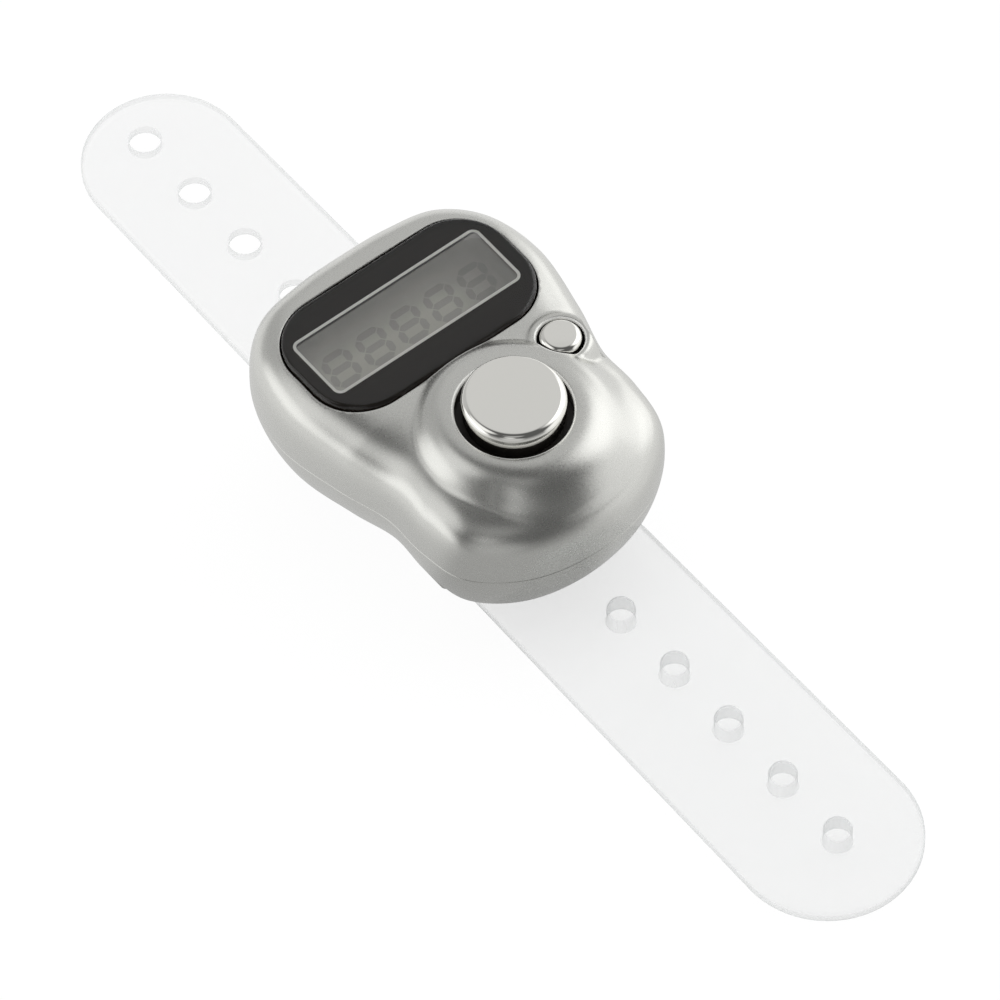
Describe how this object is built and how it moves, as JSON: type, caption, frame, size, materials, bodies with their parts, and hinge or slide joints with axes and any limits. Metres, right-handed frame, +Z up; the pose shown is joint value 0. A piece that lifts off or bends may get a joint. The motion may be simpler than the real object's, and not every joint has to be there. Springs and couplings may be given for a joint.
{
  "type": "digital tally counter",
  "caption": "Finger-worn electronic tally counter: silver moulded case on a clear strap, liquid crystal display, large count button and small reset button.",
  "frame": {"origin": "on the surface the counter stands on, under the middle of the strap (centre of the bounding box's bottom)", "axes": "+X to the right as the display is read, +Y along the strap towards its hole end and the display end of the case, +Z up out of the buttons"},
  "size_m": [0.0222, 0.0824, 0.0154],
  "materials": {
    "silver_case": "satin silver paint on moulded ABS",
    "clear_strap": "clear, slightly frosted soft PVC",
    "display_lens": "clear acrylic, printed black behind its rim",
    "polariser_film": "grey polarising film",
    "lcd_glass": "polished",
    "reflector_film": "matt reflector film",
    "carbon_rubber": "matt conductive rubber",
    "board_laminate": "green solder resist on glass-fibre laminate",
    "black_epoxy": "poured black epoxy",
    "chip_ceramic": "fired ceramic body",
    "chrome_plating": "mirror chrome plating on moulded ABS",
    "silicone_rubber": "matt moulded silicone",
    "nickel_steel": "nickel-plated steel"
  },
  "bodies": {
    "case": {"upper_case": "silver_case", "back_cover": "silver_case", "display_lens": "display_lens", "lcd_front_polariser": "polariser_film", "lcd_front_glass": "lcd_glass", "lcd_rear_glass": "lcd_glass", "lcd_reflector": "reflector_film", "lcd_connector_strip": "carbon_rubber", "circuit_board": "board_laminate", "chip_epoxy_cap": "black_epoxy", "capacitor_1": "chip_ceramic", "capacitor_2": "chip_ceramic", "oscillator_resistor": "black_epoxy", "count_rubber_dome": "silicone_rubber", "reset_rubber_dome": "silicone_rubber", "battery": "nickel_steel", "battery_positive_contact": "nickel_steel", "battery_negative_contact": "nickel_steel", "case_screw_nose": "nickel_steel", "case_screw_display": "nickel_steel", "board_screw_1": "nickel_steel", "board_screw_2": "nickel_steel", "board_screw_3": "nickel_steel"},
    "count_key": {"count_button": "chrome_plating", "count_contact_pill": "carbon_rubber"},
    "reset_key": {"reset_button": "chrome_plating", "reset_contact_pill": "carbon_rubber"},
    "strap_band": {"strap": "clear_strap"}
  },
  "joints": [
    {"name": "count_press", "type": "slide", "parent": "case", "child": "count_key", "axis": [0, 0, -1], "range_m": [0, 0.0008], "stiffness_N_per_m": 900, "deforming": ["count_rubber_dome"]},
    {"name": "reset_press", "type": "slide", "parent": "case", "child": "reset_key", "axis": [0, 0, -1], "range_m": [0, 0.0005], "stiffness_N_per_m": 1000, "deforming": ["reset_rubber_dome"]},
    {"name": "strap_slide", "type": "slide", "parent": "case", "child": "strap_band", "axis": [0, 1, 0], "range_m": [-0.02, 0.0018]}
  ]
}
